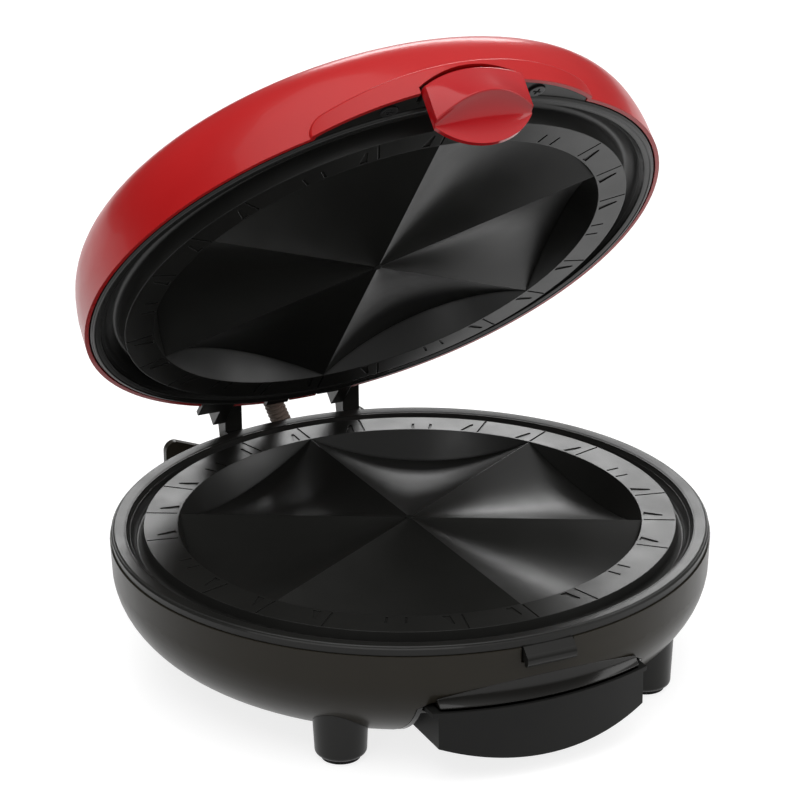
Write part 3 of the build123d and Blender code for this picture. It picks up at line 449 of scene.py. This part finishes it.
# ---- floor, world and lamps ---------------------------------------------------------------------
WORLD_STOPS = [(0.0, 0.10), (0.25, 0.2), (0.6, 0.5), (0.85, 0.8)]   # height, grey
WORLD_BRIGHT_SIDE = (0.55, -0.83, 0.0)    # front right
WORLD_SIDES = (0.5, 1.5)                  # share of that grey at the far and the bright side
SIDE_SPREAD = 0.8
FLOOR_WHITE = 0.8                         # the floor's own white; lamp light makes up the rest
FLOOR_GREY = 0.35
FLOOR_HALF = 6.0


def lamp(name, place, aim, size, watts):
    """White area lamp at a place, turned to its aim."""
    data = bpy.data.lights.new(name, "AREA")
    data.shape = "RECTANGLE"
    data.size, data.size_y = size
    data.energy = watts
    light = bpy.data.objects.new(name, data)
    bpy.context.scene.collection.objects.link(light)
    light.location = place
    light.rotation_euler = (Vector(aim) - Vector(place)).to_track_quat("-Z", "Y").to_euler()


def seen_directly(tree, strength):
    """The strength for camera, glossy and transmission rays, and 0 for the rest."""
    path = tree.nodes.new("ShaderNodeLightPath")
    total = path.outputs["Is Camera Ray"]
    for ray in ("Is Glossy Ray", "Is Transmission Ray"):
        add = tree.nodes.new("ShaderNodeMath")
        add.operation = "MAXIMUM"
        tree.links.new(total, add.inputs[0])
        tree.links.new(path.outputs[ray], add.inputs[1])
        total = add.outputs["Value"]
    scale = tree.nodes.new("ShaderNodeMath")
    scale.operation = "MULTIPLY"
    scale.inputs[1].default_value = strength
    tree.links.new(total, scale.inputs[0])
    return scale.outputs["Value"]


def pale_world():
    """Studio round the object: palest overhead and to the front right, dim at the horizon."""
    world = bpy.data.worlds.new("studio")
    bpy.context.scene.world = world
    world.use_nodes = True
    tree = world.node_tree
    direction = tree.nodes.new("ShaderNodeTexCoord")
    split = tree.nodes.new("ShaderNodeSeparateXYZ")
    tree.links.new(direction.outputs["Generated"], split.inputs["Vector"])
    sky = ramp(tree, split.outputs["Z"], WORLD_STOPS)
    tree.links.new(sky, tree.nodes["Background"].inputs["Color"])
    tree.links.new(towards(tree, direction.outputs["Generated"], WORLD_BRIGHT_SIDE, WORLD_SIDES),
                   tree.nodes["Background"].inputs["Strength"])


def towards(tree, vector, way, share):
    """share[0] on the side away from the given way, rising to share[1] on the side facing it."""
    dot = tree.nodes.new("ShaderNodeVectorMath")
    dot.operation = "DOT_PRODUCT"
    dot.inputs[1].default_value = way
    tree.links.new(vector, dot.inputs[0])
    spread = tree.nodes.new("ShaderNodeMapRange")
    spread.interpolation_type = "SMOOTHSTEP"
    spread.inputs["From Min"].default_value = -SIDE_SPREAD
    spread.inputs["From Max"].default_value = SIDE_SPREAD
    spread.inputs["To Min"].default_value = share[0]
    spread.inputs["To Max"].default_value = share[1]
    tree.links.new(dot.outputs["Value"], spread.inputs["Value"])
    return spread.outputs["Result"]


def pale_floor():
    """White paper: its own white to camera, glossy and transmission rays, plus a faint shadow."""
    mesh = bpy.data.meshes.new("floor")
    half = FLOOR_HALF
    mesh.from_pydata([(-half, -half, 0), (half, -half, 0), (half, half, 0), (-half, half, 0)], [],
                     [(0, 1, 2, 3)])
    floor = bpy.data.objects.new("floor", mesh)
    bpy.context.scene.collection.objects.link(floor)
    material, tree, shader = new_material("floor_paper")
    shader.inputs["Base Color"].default_value = (FLOOR_GREY, FLOOR_GREY, FLOOR_GREY, 1)
    shader.inputs["Roughness"].default_value = 0.6
    shader.inputs["Specular IOR Level"].default_value = 0.1
    glow = tree.nodes.new("ShaderNodeEmission")
    tree.links.new(seen_directly(tree, FLOOR_WHITE), glow.inputs["Strength"])
    both = tree.nodes.new("ShaderNodeAddShader")
    tree.links.new(shader.outputs["BSDF"], both.inputs[0])
    tree.links.new(glow.outputs["Emission"], both.inputs[1])
    tree.links.new(both.outputs["Shader"], tree.nodes["Material Output"].inputs["Surface"])
    mesh.materials.append(material)


bpy.context.scene.view_settings.view_transform = "Standard"

pale_world()
pale_floor()
lamp("overhead", (-0.5, -0.3, 1.7), (0, 0, 0.1), (1.8, 1.6), 15)
lamp("front_left", (-1.6, -1.3, 0.9), (0, 0, 0.15), (0.4, 0.9), 3.5)
lamp("front_right", (1.75, -1.0, 0.7), (0, 0, 0.1), (1.0, 1.1), 10)
lamp("behind", (1.1, 2.3, 1.1), (0, 0, 0.1), (1.2, 0.6), 15)
